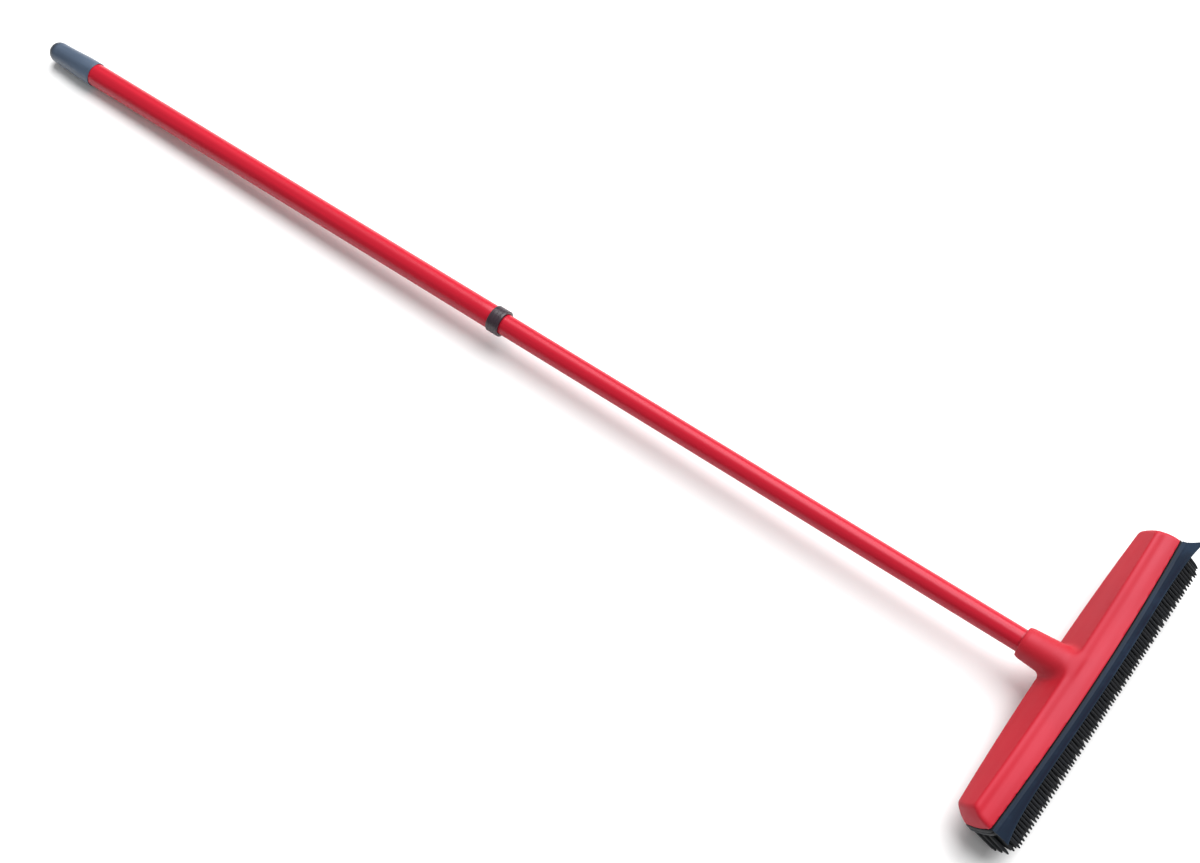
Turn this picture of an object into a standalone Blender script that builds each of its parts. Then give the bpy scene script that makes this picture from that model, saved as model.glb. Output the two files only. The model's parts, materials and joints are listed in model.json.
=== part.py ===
"""Telescopic rubber broom with a squeegee lip, lying on the floor on its back.

The head is modelled in its working position: X along the head, -Y the squeegee
side, +Z up from the pin tips. The handle is modelled along its own +Z, from the
point where its axis crosses the top of the head. Two empties then turn both into
the resting pose, where the rear pins and the grip touch the floor.
"""
import math

import bmesh
import bpy
from mathutils import Matrix, Vector

# Head, at the rim of the cover and at its flat top (half lengths and Y places)
RIM_Z = 0.035
TOP_Z = 0.056
RIM = {"front_half": 0.163, "rear_half": 0.162, "front_y": -0.021, "rear_y": 0.016,
       "front_bulge": 0.008, "rear_bulge": 0.008, "end_bulge": 0.0018}
TOP = {"front_half": 0.1555, "rear_half": 0.1555, "front_y": -0.0138, "rear_y": 0.0138,
       "front_bulge": 0.0046, "rear_bulge": 0.0058, "end_bulge": 0.0018}
CORNER = 0.0045
COVER_WALL = 0.0025
GAP = 0.0003

# Rubber under the cover
SOLE_BOTTOM_Z = 0.027
SOLE_PROUD = 0.001
LIP_ROOT = 0.003
LIP_TIP = 0.0012
LIP_REACH = 0.009
LIP_DROP = 0.0025
LIP_CORNER_REACH = 0.013
LIP_CORNER_DROP = 0.0065
LIP_OVERHANG = 0.006
ROW_COUNT = 9
ROW_FRONT_Y = -0.0195
ROW_PITCH = 0.0040875
ROW_HALF_LENGTH = 0.1640
ROW_CORNER_CUT = 0.009
ROW_ROOT = 0.0019
ROW_TIP = 0.0013

# Carrier plate, its screws and the bosses that take them
CARRIER_THICKNESS = 0.0027
CARRIER_INSET = 0.0042
SCREW_X = (-0.130, -0.050, 0.050, 0.130)
SCREW_SHANK_R = 0.0016
SCREW_HEAD_R = 0.0026
SCREW_HEAD_HEIGHT = 0.0018
SCREW_LENGTH = 0.0125
BOSS_R = 0.0042
RIB_X = (-0.145, -0.110, -0.080, 0.080, 0.110, 0.145)
RIB_THICKNESS = 0.0016
RIB_BOTTOM_Z = 0.046

# Handle axis
SOCKET_TILT = math.radians(40.0)
AXIS_Y = 0.004

# Socket, measured along the handle axis from the top of the head
SOCKET_MOUTH = 0.034
SOCKET_R_BASE = 0.0174
SOCKET_R_MOUTH = 0.0152
SOCKET_LIP = 0.004
THREAD_BORE_R = 0.0096
TUBE_BORE_R = 0.0115
TUBE_SEAT = 0.0155
THREAD_FOOT = -0.0065

# Tubes
LOWER_R = 0.0110
UPPER_R = 0.0125
TUBE_WALL = 0.0006
LOWER_FOOT = 0.0162
LOWER_TOP = 0.690
UPPER_FOOT = 0.6235
UPPER_TOP = 1.2545

# Collar and grip cap
COLLAR_FOOT = 0.619
COLLAR_TOP = 0.633
COLLAR_R = 0.0140
CAP_FOOT = 1.199
CAP_TIP = 1.266
CAP_R = 0.0134
CAP_TIP_R = 0.005

ROUND = 32


def clear_scene():
    """Remove every object, so that the script gives the same model each time."""
    for item in list(bpy.data.objects):
        bpy.data.objects.remove(item, do_unlink=True)


def make_material(name, colour, roughness, metallic):
    """A Principled material with one colour."""
    material = bpy.data.materials.new(name)
    material.use_nodes = True
    shader = material.node_tree.nodes["Principled BSDF"]
    shader.inputs["Base Color"].default_value = (*colour, 1.0)
    shader.inputs["Roughness"].default_value = roughness
    shader.inputs["Metallic"].default_value = metallic
    return material


def make_empty(name, parent=None):
    """An empty that carries a frame."""
    empty = bpy.data.objects.new(name, None)
    bpy.context.collection.objects.link(empty)
    empty.parent = parent
    return empty


def make_object(name, bm, parent, look=None, smooth=False):
    """Turn a bmesh into an object under a frame, with its faces pointing out."""
    bmesh.ops.recalc_face_normals(bm, faces=bm.faces[:])
    mesh = bpy.data.meshes.new(name)
    bm.to_mesh(mesh)
    bm.free()
    item = bpy.data.objects.new(name, mesh)
    bpy.context.collection.objects.link(item)
    item.parent = parent
    if look:
        mesh.materials.append(make_material(name, *look))
    if smooth:
        mesh.shade_smooth()
        mesh.set_sharp_from_angle(angle=math.radians(35.0))
    return item


def make_cutter(name, bm, parent):
    """An object that only serves a Boolean."""
    cutter = make_object(name, bm, parent)
    cutter.hide_render = True
    cutter.display_type = "WIRE"
    return cutter


def combine(target, tool, operation):
    """Join a tool to a piece, or cut it away, with an exact Boolean."""
    modifier = target.modifiers.new(tool.name, "BOOLEAN")
    modifier.operation = operation
    modifier.solver = "EXACT"
    modifier.object = tool


def turned_mesh(profile, steps=ROUND):
    """A closed (radius, height) profile turned about Z; points at radius 0 become poles."""
    bm = bmesh.new()
    ring = [bm.verts.new((radius, 0.0, height)) for radius, height in profile]
    closed = min(radius for radius, height in profile) > 0.0
    pairs = list(zip(ring, ring[1:] + ring[:1]))
    if not closed:
        pairs = pairs[:-1]
    edges = [bm.edges.new(pair) for pair in pairs]
    bmesh.ops.spin(bm, geom=ring + edges, cent=(0, 0, 0), axis=(0, 0, 1), angle=math.tau,
                   steps=steps, use_merge=True)
    bmesh.ops.remove_doubles(bm, verts=bm.verts[:], dist=1e-6)
    return bm


def bored_profile(outer, bore):
    """Outer (radius, height) points from bottom to top, with a straight bore through them."""
    return outer + [(bore, outer[-1][1]), (bore, outer[0][1])]


def mix(low, high, share):
    return low + (high - low) * share


def front_edge_y(plan, x, inset=0.0):
    """Y of the bowed front edge of a plan at a place along the head."""
    share = x / plan["front_half"]
    return plan["front_y"] + inset - plan["front_bulge"] * (1.0 - share * share)


def rear_edge_y(plan, x, inset=0.0):
    """Y of the bowed rear edge of a plan at a place along the head."""
    share = x / plan["rear_half"]
    return plan["rear_y"] - inset + plan["rear_bulge"] * (1.0 - share * share)


def plan_at(height):
    """The cover's outer plan at a height between its rim and its top."""
    share = (height - RIM_Z) / (TOP_Z - RIM_Z)
    return {key: mix(RIM[key], TOP[key], share) for key in RIM}


def outline(plan, inset=0.0, end_inset=None, long_steps=12, end_steps=3, corner_steps=3):
    """Closed plan outline, anticlockwise from above: bowed sides, bowed ends, round corners."""
    end_inset = inset if end_inset is None else end_inset
    front_half = plan["front_half"] - end_inset
    rear_half = plan["rear_half"] - end_inset
    front_end = Vector((front_half, front_edge_y(plan, front_half, inset)))
    rear_end = Vector((rear_half, rear_edge_y(plan, rear_half, inset)))
    depth = rear_end.y - front_end.y

    def front(x):
        return Vector((x, front_edge_y(plan, x, inset)))

    def rear(x):
        return Vector((x, rear_edge_y(plan, x, inset)))

    def end(share):
        bow = plan["end_bulge"] * 4.0 * share * (1.0 - share)
        return front_end.lerp(rear_end, share) + Vector((bow, 0.0))

    def corner(first, middle, last):
        points = []
        for step in range(1, corner_steps):
            share = step / corner_steps
            points.append(first.lerp(middle, share).lerp(middle.lerp(last, share), share))
        return points

    trim = CORNER / depth
    right = [front(mix(0.0, front_half - CORNER, step / long_steps)) for step in range(long_steps + 1)]
    right += corner(right[-1], front_end, end(trim))
    right += [end(mix(trim, 1.0 - trim, step / end_steps)) for step in range(end_steps + 1)]
    back = [rear(mix(rear_half - CORNER, 0.0, step / long_steps)) for step in range(long_steps + 1)]
    right += corner(right[-1], rear_end, back[0]) + back
    left = [Vector((-point.x, point.y)) for point in reversed(right[1:-1])]
    return right + left


def ring_of_verts(bm, points, height):
    return [bm.verts.new((point.x, point.y, height)) for point in points]


def bridge(bm, lower, upper):
    """Quads between two rings with the same number of points."""
    count = len(lower)
    for index in range(count):
        after = (index + 1) % count
        bm.faces.new((lower[index], lower[after], upper[after], upper[index]))


def slab_mesh(points, bottom, top):
    """A plate with a given outline."""
    bm = bmesh.new()
    low = ring_of_verts(bm, points, bottom)
    high = ring_of_verts(bm, points, top)
    bridge(bm, low, high)
    bm.faces.new(high)
    bm.faces.new(list(reversed(low)))
    return bm


def box_mesh(low, high):
    """A box between two corners."""
    bm = bmesh.new()
    size = [high[axis] - low[axis] for axis in range(3)]
    centre = [(high[axis] + low[axis]) / 2.0 for axis in range(3)]
    bmesh.ops.create_cube(bm, size=1.0, matrix=Matrix.Translation(centre) @ Matrix.Diagonal((*size, 1.0)))
    return bm


def cover_shell_mesh():
    """The boat-shaped outer skin of the head with its wall, open below."""
    bm = bmesh.new()
    inner_top = TOP_Z - COVER_WALL
    outer_rim = ring_of_verts(bm, outline(RIM), RIM_Z)
    outer_top = ring_of_verts(bm, outline(TOP), TOP_Z)
    inner_rim = ring_of_verts(bm, outline(RIM, COVER_WALL), RIM_Z)
    inner_roof = ring_of_verts(bm, outline(plan_at(inner_top), COVER_WALL), inner_top)
    bridge(bm, outer_rim, outer_top)
    bridge(bm, inner_roof, inner_rim)
    bridge(bm, inner_rim, outer_rim)
    bm.faces.new(outer_top)
    bm.faces.new(list(reversed(inner_roof)))
    return bm


def rib_mesh(x):
    """A cross rib that runs from the front wall to the rear wall under the roof."""
    bm = bmesh.new()
    sink = COVER_WALL / 2.0
    rings = []
    for side in (-0.5, 0.5):
        place = x + side * RIB_THICKNESS
        ring = []
        for height in (RIB_BOTTOM_Z, TOP_Z - sink):
            plan = plan_at(height)
            ring.append((place, front_edge_y(plan, place, sink), height))
            ring.append((place, rear_edge_y(plan, place, sink), height))
        rings.append([bm.verts.new(ring[index]) for index in (0, 1, 3, 2)])
    bridge(bm, rings[0], rings[1])
    bm.faces.new(rings[0])
    bm.faces.new(rings[1])
    return bm


def make_head_cover(head, handle):
    """Cover with its socket, screw bosses and ribs as one moulding."""
    cover = make_object("head_cover", cover_shell_mesh(), head, ((0.62, 0.02, 0.04), 0.35, 0.0))
    socket_foot = -0.020
    cone = [(0.0, socket_foot), (SOCKET_R_BASE, socket_foot), (SOCKET_R_BASE, 0.0),
            (SOCKET_R_MOUTH, SOCKET_MOUTH - SOCKET_LIP), (SOCKET_R_MOUTH - 0.001, SOCKET_MOUTH),
            (0.0, SOCKET_MOUTH)]
    socket = make_cutter("socket_outside", turned_mesh(cone), handle)
    half_roof = TOP_Z - COVER_WALL / 2.0
    above = make_cutter("space_above_roof", box_mesh((-0.1, -0.1, half_roof), (0.1, 0.1, 0.2)), head)
    combine(socket, above, "INTERSECT")
    combine(cover, socket, "UNION")
    bore_foot = THREAD_FOOT - 0.0015
    boss_foot = bore_foot - COVER_WALL
    inner_boss = [(0.0, boss_foot), (0.0122, boss_foot), (0.0122, 0.012), (0.0, 0.012)]
    combine(cover, make_cutter("socket_inside", turned_mesh(inner_boss), handle), "UNION")
    carrier_top = RIM_Z + GAP + CARRIER_THICKNESS
    boss_low = carrier_top + GAP
    for number, x in enumerate(SCREW_X, 1):
        boss = [(0.0, boss_low), (BOSS_R, boss_low), (BOSS_R, half_roof), (0.0, half_roof)]
        mesh = turned_mesh(boss, 16)
        bmesh.ops.translate(mesh, vec=(x, 0.0, 0.0), verts=mesh.verts[:])
        combine(cover, make_cutter(f"boss_{number}", mesh, head), "UNION")
    for number, x in enumerate(RIB_X, 1):
        combine(cover, make_cutter(f"rib_{number}", rib_mesh(x), head), "UNION")
    bore = [(0.0, bore_foot), (THREAD_BORE_R, bore_foot), (THREAD_BORE_R, TUBE_SEAT),
            (TUBE_BORE_R, TUBE_SEAT), (TUBE_BORE_R, SOCKET_MOUTH + 0.005), (0.0, SOCKET_MOUTH + 0.005)]
    combine(cover, make_cutter("socket_bore", turned_mesh(bore), handle), "DIFFERENCE")
    pilot_top = boss_low + 0.011
    for number, x in enumerate(SCREW_X, 1):
        pilot = [(0.0, boss_low - 0.001), (SCREW_SHANK_R + GAP, boss_low - 0.001),
                 (SCREW_SHANK_R + GAP, pilot_top), (0.0, pilot_top)]
        mesh = turned_mesh(pilot, 12)
        bmesh.ops.translate(mesh, vec=(x, 0.0, 0.0), verts=mesh.verts[:])
        combine(cover, make_cutter(f"pilot_hole_{number}", mesh, head), "DIFFERENCE")


def make_carrier(head):
    """Stiff plate inside the rim, with two stiffening ribs and four screw holes."""
    bottom = RIM_Z + GAP
    top = bottom + CARRIER_THICKNESS
    mesh = slab_mesh(outline(RIM, CARRIER_INSET), bottom, top)
    plate = make_object("carrier_plate", mesh, head, ((0.05, 0.05, 0.055), 0.5, 0.0))
    for name, y in (("front", -0.0125), ("rear", 0.0095)):
        low = (-0.138, y - 0.0009, bottom + 0.001)
        high = (0.138, y + 0.0009, RIB_BOTTOM_Z - 0.004)
        combine(plate, make_cutter(f"carrier_rib_{name}", box_mesh(low, high), head), "UNION")
    drill_holes(plate, SCREW_SHANK_R + GAP, bottom - 0.001, top + 0.001, head)


def drill_holes(piece, radius, low, high, head):
    """Cut the four screw holes into a piece."""
    for number, x in enumerate(SCREW_X, 1):
        mesh = turned_mesh([(0.0, low), (radius, low), (radius, high), (0.0, high)], 12)
        bmesh.ops.translate(mesh, vec=(x, 0.0, 0.0), verts=mesh.verts[:])
        combine(piece, make_cutter(f"{piece.name}_hole_{number}", mesh, head), "DIFFERENCE")


def make_screws(head):
    """Four self-tapping screws, their heads under the carrier plate."""
    head_top = RIM_Z - 0.0001
    tip = head_top + SCREW_LENGTH
    profile = [(0.0, head_top - SCREW_HEAD_HEIGHT), (SCREW_HEAD_R * 0.8, head_top - SCREW_HEAD_HEIGHT),
               (SCREW_HEAD_R, head_top - SCREW_HEAD_HEIGHT / 2.0), (SCREW_HEAD_R, head_top),
               (SCREW_SHANK_R, head_top), (SCREW_SHANK_R, tip - 0.002), (0.0004, tip), (0.0, tip)]
    for number, x in enumerate(SCREW_X, 1):
        look = ((0.55, 0.55, 0.56), 0.35, 1.0)
        screw = make_object(f"sole_screw_{number}", turned_mesh(profile, 12), head, look, smooth=True)
        screw.location = (x, 0.0, 0.0)


def make_sole(head):
    """Rubber sole under the rim, proud of the cover at its ends, with pockets for the screw heads."""
    points = outline(RIM, 0.0, -SOLE_PROUD)
    mesh = slab_mesh(points, SOLE_BOTTOM_Z, RIM_Z - GAP)
    sole = make_object("rubber_sole", mesh, head, ((0.012, 0.016, 0.022), 0.55, 0.0))
    pocket_floor = RIM_Z - SCREW_HEAD_HEIGHT - 2.0 * GAP
    drill_holes(sole, SCREW_HEAD_R + GAP, pocket_floor, RIM_Z + 0.001, head)


def make_lip(head, stations=36, strips=5):
    """Squeegee lip: a rubber blade that flares to the front, and most of all at its two corners."""
    bm = bmesh.new()
    root_middle = RIM_Z - 2.0 * GAP - LIP_ROOT / 2.0
    rings = []
    for station in range(stations + 1):
        share = mix(-1.0, 1.0, station / stations)
        root_x = share * RIM["front_half"]
        root_y = front_edge_y(RIM, root_x) - GAP
        flare = abs(share) ** 6
        reach = mix(LIP_REACH, LIP_CORNER_REACH, flare)
        drop = mix(LIP_DROP, LIP_CORNER_DROP, flare)
        upper = []
        lower = []
        for strip in range(strips + 1):
            run = strip / strips
            forward = 2.0 * run * (1.0 - run) * 0.0032 + run * run * reach
            down = 2.0 * run * (1.0 - run) * 0.0030 + run * run * drop
            half = mix(LIP_ROOT, LIP_TIP, run) / 2.0
            x = root_x + share * LIP_OVERHANG * run * run
            upper.append(bm.verts.new((x, root_y - forward, root_middle - down + half)))
            lower.append(bm.verts.new((x, root_y - forward, root_middle - down - half)))
        rings.append(upper + list(reversed(lower)))
    for before, after in zip(rings, rings[1:]):
        bridge(bm, before, after)
    bm.faces.new(rings[0])
    bm.faces.new(rings[-1])
    make_object("squeegee_lip", bm, head, ((0.014, 0.024, 0.038), 0.4, 0.0), smooth=True)


def make_rows(head):
    """Rows of rubber pins, each row as one tapered strip."""
    middle = (ROW_COUNT - 1) // 2
    for number in range(ROW_COUNT):
        y = ROW_FRONT_Y + number * ROW_PITCH
        offset = (number - middle) / middle
        half_length = ROW_HALF_LENGTH - ROW_CORNER_CUT * offset ** 4
        bm = bmesh.new()
        rings = []
        for height, thickness in ((0.0, ROW_TIP), (SOLE_BOTTOM_Z - GAP, ROW_ROOT)):
            half = thickness / 2.0
            corners = ((-half_length, y - half), (half_length, y - half),
                       (half_length, y + half), (-half_length, y + half))
            rings.append([bm.verts.new((*corner, height)) for corner in corners])
        bridge(bm, rings[0], rings[1])
        bm.faces.new(rings[0])
        bm.faces.new(rings[1])
        make_object(f"bristle_row_{number + 1}", bm, head, ((0.012, 0.016, 0.022), 0.55, 0.0))


def make_lower_tube(handle):
    """Lower tube with its threaded foot plug."""
    tube = bored_profile([(LOWER_R, LOWER_FOOT), (LOWER_R, LOWER_TOP)], LOWER_R - TUBE_WALL)
    make_object("lower_tube", turned_mesh(tube), handle, ((0.60, 0.015, 0.03), 0.3, 0.0), smooth=True)
    shank_r = LOWER_R - TUBE_WALL - GAP
    flange_top = LOWER_FOOT - GAP
    flange_low = flange_top - 0.0022
    thread_r = THREAD_BORE_R - 0.0004
    neck_r = thread_r - 0.0008
    shank_top = LOWER_FOOT + 0.029
    insert = [(0.0, THREAD_FOOT), (thread_r - 0.0014, THREAD_FOOT), (thread_r, THREAD_FOOT + 0.0015),
              (thread_r, flange_low - 0.0009), (neck_r, flange_low - 0.0009), (neck_r, flange_low),
              (thread_r, flange_low), (thread_r, flange_top), (shank_r, flange_top),
              (shank_r, shank_top), (shank_r - 0.0012, shank_top + 0.002), (0.0, shank_top + 0.002)]
    make_object("threaded_insert", turned_mesh(insert), handle, ((0.03, 0.03, 0.032), 0.45, 0.0),
                smooth=True)


def make_lock(handle):
    """Twist lock at the top of the lower tube: plug, split expander, cone nut and end stop."""
    black = ((0.02, 0.02, 0.022), 0.45, 0.0)
    steel = ((0.6, 0.6, 0.6), 0.3, 1.0)
    shank_r = LOWER_R - TUBE_WALL - GAP
    guide_r = UPPER_R - TUBE_WALL - GAP
    seat = LOWER_TOP + GAP
    stud_r = 0.0032
    screw_hole_r = 0.0017
    stud_top = seat + 0.0334
    plug = [(0.0, seat - 0.040), (shank_r - 0.001, seat - 0.040), (shank_r, seat - 0.038),
            (shank_r, seat), (guide_r, seat), (guide_r, seat + 0.0037), (stud_r, seat + 0.0037),
            (stud_r, stud_top), (screw_hole_r, stud_top), (screw_hole_r, seat + 0.016), (0.0, seat + 0.016)]
    make_object("lock_plug", turned_mesh(plug), handle, black, smooth=True)

    base = seat + 0.0040
    finger_foot = base + 0.004
    finger_top = base + 0.020
    bore_r = stud_r + GAP
    profile = [(guide_r - 0.0001, base), (guide_r - 0.0001, finger_top), (0.0090, finger_top),
               (0.0062, finger_foot), (bore_r, finger_foot), (bore_r, base)]
    expander = make_object("lock_expander", turned_mesh(profile), handle, ((0.5, 0.5, 0.48), 0.5, 0.0))
    for number in range(2):
        slot = box_mesh((-0.02, -0.001, finger_foot + 0.0015), (0.02, 0.001, finger_top + 0.01))
        bmesh.ops.rotate(slot, matrix=Matrix.Rotation(number * math.pi / 2.0, 3, "Z"), verts=slot.verts[:])
        combine(expander, make_cutter(f"expander_slot_{number + 1}", slot, handle), "DIFFERENCE")

    cone_low = finger_foot + 0.003
    cone_high = finger_top + 0.002
    slope = (0.0090 - 0.0062) / (finger_top - finger_foot)
    clearance = 0.0004
    low_r = 0.0062 + slope * (cone_low - finger_foot) - clearance
    high_r = 0.0062 + slope * (cone_high - finger_foot) - clearance
    cone = bored_profile([(low_r, cone_low), (high_r, cone_high)], bore_r)
    make_object("lock_cone", turned_mesh(cone), handle, black, smooth=True)

    washer = bored_profile([(0.0062, stud_top + GAP), (0.0062, stud_top + 0.0014)], 0.0019)
    make_object("lock_washer", turned_mesh(washer, 24), handle, steel, smooth=True)
    under_head = stud_top + 0.0017
    screw = [(0.0, under_head - 0.014), (0.0014, under_head - 0.013), (0.0014, under_head),
             (0.0036, under_head), (0.0036, under_head + 0.0012), (0.0022, under_head + 0.0024),
             (0.0, under_head + 0.0024)]
    make_object("lock_screw", turned_mesh(screw, 20), handle, steel, smooth=True)


def make_upper_tube(handle):
    """Upper tube with the collar on its mouth and the cap on its end."""
    tube = bored_profile([(UPPER_R, UPPER_FOOT), (UPPER_R, UPPER_TOP)], UPPER_R - TUBE_WALL)
    make_object("upper_tube", turned_mesh(tube), handle, ((0.60, 0.015, 0.03), 0.3, 0.0), smooth=True)

    lip_top = UPPER_FOOT - GAP
    guide_r = LOWER_R + GAP
    sleeve_r = UPPER_R + GAP
    collar = [(guide_r, COLLAR_FOOT), (COLLAR_R - 0.0008, COLLAR_FOOT), (COLLAR_R, COLLAR_FOOT + 0.0008),
              (COLLAR_R, COLLAR_TOP - 0.0006), (COLLAR_R - 0.0006, COLLAR_TOP), (sleeve_r, COLLAR_TOP),
              (sleeve_r, lip_top), (guide_r, lip_top)]
    make_object("collar", turned_mesh(collar), handle, ((0.02, 0.02, 0.025), 0.4, 0.0), smooth=True)

    dome_foot = CAP_TIP - 0.010
    dome = []
    dome_steps = 6
    for step in range(dome_steps + 1):
        angle = math.pi / 2.0 * step / dome_steps
        dome.append((mix(CAP_TIP_R, CAP_R, math.cos(angle)), mix(dome_foot, CAP_TIP, math.sin(angle))))
    cap = [(sleeve_r, CAP_FOOT), (CAP_R - 0.0003, CAP_FOOT), (CAP_R, CAP_FOOT + 0.0008)] + dome
    cap += [(0.0, CAP_TIP), (0.0, UPPER_TOP + 0.0010), (sleeve_r, UPPER_TOP + GAP)]
    bm = cap_mesh(cap)
    make_object("grip_cap", bm, handle, ((0.03, 0.045, 0.075), 0.5, 0.0), smooth=True)


def cap_mesh(profile):
    """Turn the cap's profile: it meets the axis at its tip and at the bottom of its bore."""
    tip = next(index for index, point in enumerate(profile) if point[0] == 0.0)
    open_chain = profile[tip + 1:] + profile[:tip + 1]
    return turned_mesh(open_chain)


def lie_angle():
    """Angle between the head's upright and the floor line from the rear pins to the cap."""
    rear_y = ROW_FRONT_Y + (ROW_COUNT - 1) * ROW_PITCH + ROW_TIP / 2.0
    along = CAP_TIP - 0.010
    cap_y = AXIS_Y + along * math.sin(SOCKET_TILT) + CAP_R * math.cos(SOCKET_TILT)
    cap_z = TOP_Z + along * math.cos(SOCKET_TILT) - CAP_R * math.sin(SOCKET_TILT)
    return math.atan2(cap_y - rear_y, cap_z)


def centre_on_floor(rest_frame):
    """Move the whole broom so that the middle of its box stands on the origin."""
    bpy.context.view_layer.update()
    corners = []
    for item in bpy.data.objects:
        if item.type == "MESH" and not item.hide_render:
            corners += [item.matrix_world @ vertex.co for vertex in item.data.vertices]
    low = [min(corner[axis] for corner in corners) for axis in range(3)]
    high = [max(corner[axis] for corner in corners) for axis in range(3)]
    rest_frame.location = (-(low[0] + high[0]) / 2.0, -(low[1] + high[1]) / 2.0, -low[2])
    bpy.context.view_layer.update()


def main():
    clear_scene()
    rest_frame = make_empty("rest_frame")
    rest_frame.rotation_euler = (lie_angle() - math.pi / 2.0, 0.0, 0.0)
    handle = make_empty("handle_frame", rest_frame)
    handle.location = (0.0, AXIS_Y, TOP_Z)
    handle.rotation_euler = (-SOCKET_TILT, 0.0, 0.0)
    make_head_cover(rest_frame, handle)
    make_carrier(rest_frame)
    make_screws(rest_frame)
    make_sole(rest_frame)
    make_lip(rest_frame)
    make_rows(rest_frame)
    make_lower_tube(handle)
    make_lock(handle)
    make_upper_tube(handle)
    centre_on_floor(rest_frame)


main()
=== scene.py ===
"""Telescopic rubber broom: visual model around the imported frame."""
import json
import math

import bmesh
import bpy
import numpy as np
from bpy.props import FloatProperty, FloatVectorProperty, IntProperty, PointerProperty
from mathutils import Euler, Matrix, Vector


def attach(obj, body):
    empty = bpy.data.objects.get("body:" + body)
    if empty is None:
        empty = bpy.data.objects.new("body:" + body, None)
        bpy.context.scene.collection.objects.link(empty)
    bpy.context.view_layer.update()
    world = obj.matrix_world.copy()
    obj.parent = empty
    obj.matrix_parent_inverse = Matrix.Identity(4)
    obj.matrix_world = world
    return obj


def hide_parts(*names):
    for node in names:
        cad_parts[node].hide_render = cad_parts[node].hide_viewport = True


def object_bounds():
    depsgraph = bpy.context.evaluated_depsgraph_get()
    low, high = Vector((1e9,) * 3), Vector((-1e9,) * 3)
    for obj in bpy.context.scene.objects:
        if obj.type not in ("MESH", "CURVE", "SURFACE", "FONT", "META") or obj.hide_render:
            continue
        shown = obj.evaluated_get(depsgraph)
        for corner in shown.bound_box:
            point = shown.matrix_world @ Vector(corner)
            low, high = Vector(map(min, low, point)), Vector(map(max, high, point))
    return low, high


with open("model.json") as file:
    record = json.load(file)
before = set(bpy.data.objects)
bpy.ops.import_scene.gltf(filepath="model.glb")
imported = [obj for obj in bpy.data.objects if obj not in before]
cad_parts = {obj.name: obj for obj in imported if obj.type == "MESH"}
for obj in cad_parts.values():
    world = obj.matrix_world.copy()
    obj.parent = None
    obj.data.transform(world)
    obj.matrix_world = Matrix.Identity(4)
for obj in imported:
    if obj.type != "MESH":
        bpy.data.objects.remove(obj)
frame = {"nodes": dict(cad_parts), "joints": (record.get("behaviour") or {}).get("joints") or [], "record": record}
CAD_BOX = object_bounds()

bl_info = {
    "name": "Telescopic Rubber Broom",
    "version": (1, 0, 0),
    "blender": (4, 5, 0),
    "location": "View3D > Sidebar > Broom",
    "description": "Builds a rubber broom with a squeegee lip on a telescopic handle",
    "category": "Add Mesh",
}

HEAD_BODY = "head"
LOWER_BODY = "lower_handle"
UPPER_BODY = "upper_handle"
ROUND_STEPS = 96
FIT = 0.0002


# ---------------------------------------------------------------- frames and sizes

def joint(name):
    """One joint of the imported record."""
    return next(item for item in frame["joints"] if item["name"] == name)


def mount(name):
    """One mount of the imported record."""
    return next(item for item in frame["record"]["mounts"] if item["name"] == name)


def frame_matrix(x_axis, z_axis, origin):
    """A frame from its X and Z directions and its origin."""
    y_axis = z_axis.cross(x_axis)
    turn = Matrix((x_axis, y_axis, z_axis)).transposed().to_4x4()
    return Matrix.Translation(origin) @ turn


def node_points(node):
    """A CAD node's vertices as an array."""
    mesh = frame["nodes"][node].data
    points = np.empty(len(mesh.vertices) * 3)
    mesh.vertices.foreach_get("co", points)
    return points.reshape(-1, 3)


def to_local(points, matrix):
    """Points of the row frame seen in another frame."""
    back = np.array(matrix.inverted())
    return points @ back[:3, :3].T + back[:3, 3]


def extent(node, matrix):
    """Lowest and highest corner of a CAD node in a frame."""
    local = to_local(node_points(node), matrix)
    return Vector(local.min(axis=0)), Vector(local.max(axis=0))


def head_frame():
    """Head in its working position: X along it, Z up from the pin tips, Y = 0 through the screws."""
    face = mount("working_face")
    up = -Vector(face["axis"]).normalized()
    matrix = frame_matrix(Vector((1, 0, 0)), up, Vector(face["pos_m"]))
    low, high = extent("sole_screw_2", matrix)
    return matrix @ Matrix.Translation((0.0, (low.y + high.y) / 2.0, 0.0))


def handle_frame():
    """Handle: Z along its axis towards the grip, from the foot of the lower tube."""
    axis = Vector(joint("telescope")["axis"]).normalized()
    pivot = Vector(joint("handle_unscrew")["pos_m"])
    matrix = frame_matrix(Vector((1, 0, 0)), axis, pivot)
    foot = extent("lower_tube", matrix)[0]
    return matrix @ Matrix.Translation((0.0, 0.0, foot.z))


HEAD = head_frame()
HANDLE = handle_frame()
ROW_NODES = sorted(name for name in frame["nodes"] if name.startswith("bristle_row"))
SCREW_NODES = sorted(name for name in frame["nodes"] if name.startswith("sole_screw"))


def mix(low, high, share):
    """Value between two ends; share runs from 0 to 1."""
    return low + (high - low) * share


def bump_at(place, centre, width):
    """A smooth hump of height 1 around a centre."""
    return np.exp(-((place - centre) / width) ** 2)


# ---------------------------------------------------------------- settings

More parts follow.
